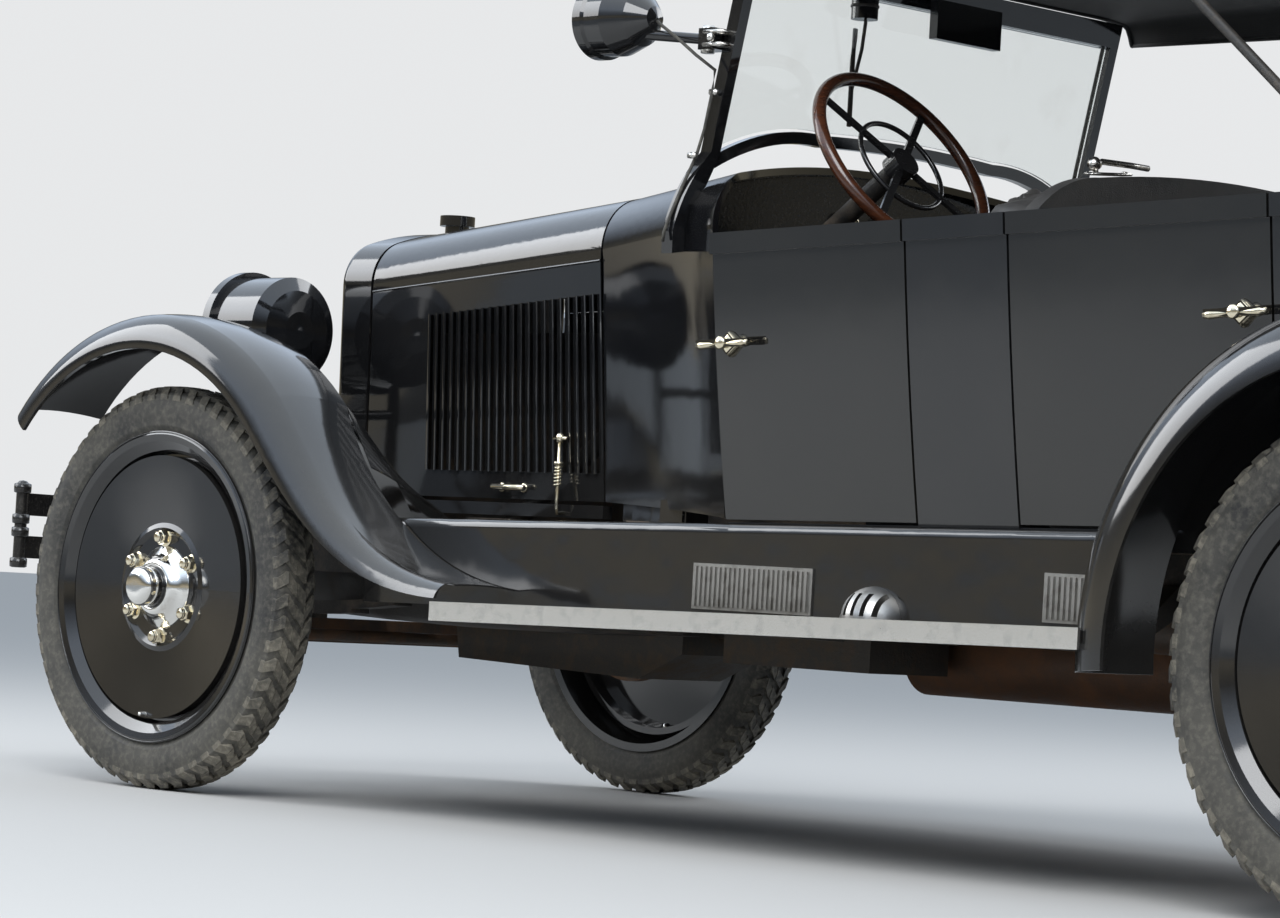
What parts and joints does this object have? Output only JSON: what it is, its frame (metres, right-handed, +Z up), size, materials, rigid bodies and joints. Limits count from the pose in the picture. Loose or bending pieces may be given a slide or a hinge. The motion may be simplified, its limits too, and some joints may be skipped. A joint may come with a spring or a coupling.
{
  "type": "vintage touring car",
  "caption": "Open touring car with a raised fabric top, louvered hood, crowned fenders, disc wheels and running boards; wheels, steering, doors and hood halves move.",
  "frame": {"origin": "on the ground under the middle of the car's length and width", "axes": "+X to the front of the car, +Y to its left side, +Z up"},
  "size_m": [4.356, 1.677, 1.79],
  "materials": {
    "body_paint": "gloss black enamel",
    "chassis_paint": "satin black",
    "iron": "dull, dusty",
    "nickel": "polished nickel",
    "tyre": "black rubber, lightly dusty",
    "fabric": "black coated top fabric",
    "leather": "dark grey leather",
    "wood": "dark varnish",
    "glass": "clear",
    "board": "matte"
  },
  "bodies": {
    "chassis": {"frame_rail_left": "chassis_paint", "frame_rail_right": "chassis_paint", "cross_members": "chassis_paint", "springs": "chassis_paint", "front_axle": "chassis_paint", "rear_axle": "chassis_paint", "powertrain": "iron", "exhaust": "chassis_paint", "fuel_tank": "chassis_paint", "radiator_shell": "body_paint", "radiator_core": "chassis_paint", "hood_rail": "body_paint", "cowl": "body_paint", "dashboard": "body_paint", "tub": "body_paint", "floor": "wood", "front_fenders": "body_paint", "rear_fenders": "body_paint", "running_boards": "board", "board_trim": "nickel", "splash_aprons": "body_paint", "headlamps": "body_paint", "lamp_lenses": "glass", "windshield_frame": "body_paint", "window_glass": "glass", "steering_column": "chassis_paint", "front_seat_frame": "body_paint", "front_seat_cushions": "leather", "rear_seat_cushions": "leather", "cabin_fittings": "chassis_paint", "spotlight": "body_paint", "canopy": "fabric", "top_bows": "chassis_paint", "front_bumper": "body_paint", "rear_carrier": "body_paint", "spare_wheel": "body_paint", "spare_tyre": "tyre"},
    "knuckle_left": {"knuckle_left": "chassis_paint"},
    "knuckle_right": {"knuckle_right": "chassis_paint"},
    "tie_rod": {"tie_rod": "chassis_paint"},
    "steering_wheel": {"steering_wheel": "wood"},
    "wheel_front_left": {"wheel_front_left": "body_paint", "tyre_front_left": "tyre"},
    "wheel_front_right": {"wheel_front_right": "body_paint", "tyre_front_right": "tyre"},
    "wheel_rear_left": {"wheel_rear_left": "body_paint", "tyre_rear_left": "tyre"},
    "wheel_rear_right": {"wheel_rear_right": "body_paint", "tyre_rear_right": "tyre"},
    "door_front_left": {"door_front_left": "body_paint"},
    "door_front_right": {"door_front_right": "body_paint"},
    "door_rear_left": {"door_rear_left": "body_paint"},
    "door_rear_right": {"door_rear_right": "body_paint"},
    "hood_top_left": {"hood_top_left": "body_paint"},
    "hood_top_right": {"hood_top_right": "body_paint"},
    "hood_side_left": {"hood_side_left": "body_paint"},
    "hood_side_right": {"hood_side_right": "body_paint"}
  },
  "joints": [
    {"name": "steer_left", "type": "hinge", "parent": "chassis", "child": "knuckle_left", "pos_m": [1.558, 0.585, 0.414], "axis": [0, 0, 1], "range_deg": [-28, 28]},
    {"name": "roll_front_left", "type": "hinge", "parent": "knuckle_left", "child": "wheel_front_left", "pos_m": [1.558, 0.711, 0.414], "axis": [0, 1, 0], "continuous": true},
    {"name": "roll_rear_left", "type": "hinge", "parent": "chassis", "child": "wheel_rear_left", "pos_m": [-1.462, 0.711, 0.414], "axis": [0, 1, 0], "continuous": true},
    {"name": "open_door_front_left", "type": "hinge", "parent": "chassis", "child": "door_front_left", "pos_m": [-0.3605, 0.605, 0.606], "axis": [0, 0.143, 0.9897], "range_deg": [0, 70]},
    {"name": "open_door_rear_left", "type": "hinge", "parent": "chassis", "child": "door_rear_left", "pos_m": [-0.5945, 0.605, 0.606], "axis": [0, 0.143, 0.9897], "range_deg": [-70, 0]},
    {"name": "lift_hood_left", "type": "hinge", "parent": "chassis", "child": "hood_top_left", "pos_m": [1.473, 0, 1.21], "axis": [0.9966, 0, -0.0822], "range_deg": [0, 60]},
    {"name": "fold_hood_left", "type": "hinge", "parent": "hood_top_left", "child": "hood_side_left", "pos_m": [1.473, 0.285, 1.0625], "axis": [0.9895, -0.1332, -0.056], "range_deg": [-30, 0]},
    {"name": "steer_right", "type": "hinge", "parent": "chassis", "child": "knuckle_right", "pos_m": [1.558, -0.585, 0.414], "axis": [0, 0, 1], "range_deg": [-28, 28]},
    {"name": "roll_front_right", "type": "hinge", "parent": "knuckle_right", "child": "wheel_front_right", "pos_m": [1.558, -0.711, 0.414], "axis": [0, 1, 0], "continuous": true},
    {"name": "roll_rear_right", "type": "hinge", "parent": "chassis", "child": "wheel_rear_right", "pos_m": [-1.462, -0.711, 0.414], "axis": [0, 1, 0], "continuous": true},
    {"name": "open_door_front_right", "type": "hinge", "parent": "chassis", "child": "door_front_right", "pos_m": [-0.3605, -0.605, 0.606], "axis": [0, -0.143, 0.9897], "range_deg": [-70, 0]},
    {"name": "open_door_rear_right", "type": "hinge", "parent": "chassis", "child": "door_rear_right", "pos_m": [-0.5945, -0.605, 0.606], "axis": [0, -0.143, 0.9897], "range_deg": [0, 70]},
    {"name": "lift_hood_right", "type": "hinge", "parent": "chassis", "child": "hood_top_right", "pos_m": [1.473, 0, 1.21], "axis": [0.9966, 0, -0.0822], "range_deg": [-60, 0]},
    {"name": "fold_hood_right", "type": "hinge", "parent": "hood_top_right", "child": "hood_side_right", "pos_m": [1.473, -0.285, 1.0625], "axis": [0.9895, 0.1332, -0.056], "range_deg": [0, 30]},
    {"name": "tie_rod_swing", "type": "hinge", "parent": "knuckle_left", "child": "tie_rod", "pos_m": [1.393, 0.585, 0.334], "axis": [0, 0, 1], "range_deg": [-28, 28]},
    {"name": "turn_steering_wheel", "type": "hinge", "parent": "chassis", "child": "steering_wheel", "pos_m": [-0.015, 0.295, 1.286], "axis": [-0.8192, 0, 0.5736], "range_deg": [-364, 364]}
  ],
  "couplings": [
    {"joint": "steer_right", "follows": "steer_left", "ratio": 1},
    {"joint": "tie_rod_swing", "follows": "steer_left", "ratio": -1},
    {"joint": "turn_steering_wheel", "follows": "steer_left", "ratio": 13},
    {"joint": "fold_hood_left", "follows": "lift_hood_left", "ratio": -0.5},
    {"joint": "fold_hood_right", "follows": "lift_hood_right", "ratio": -0.5}
  ]
}
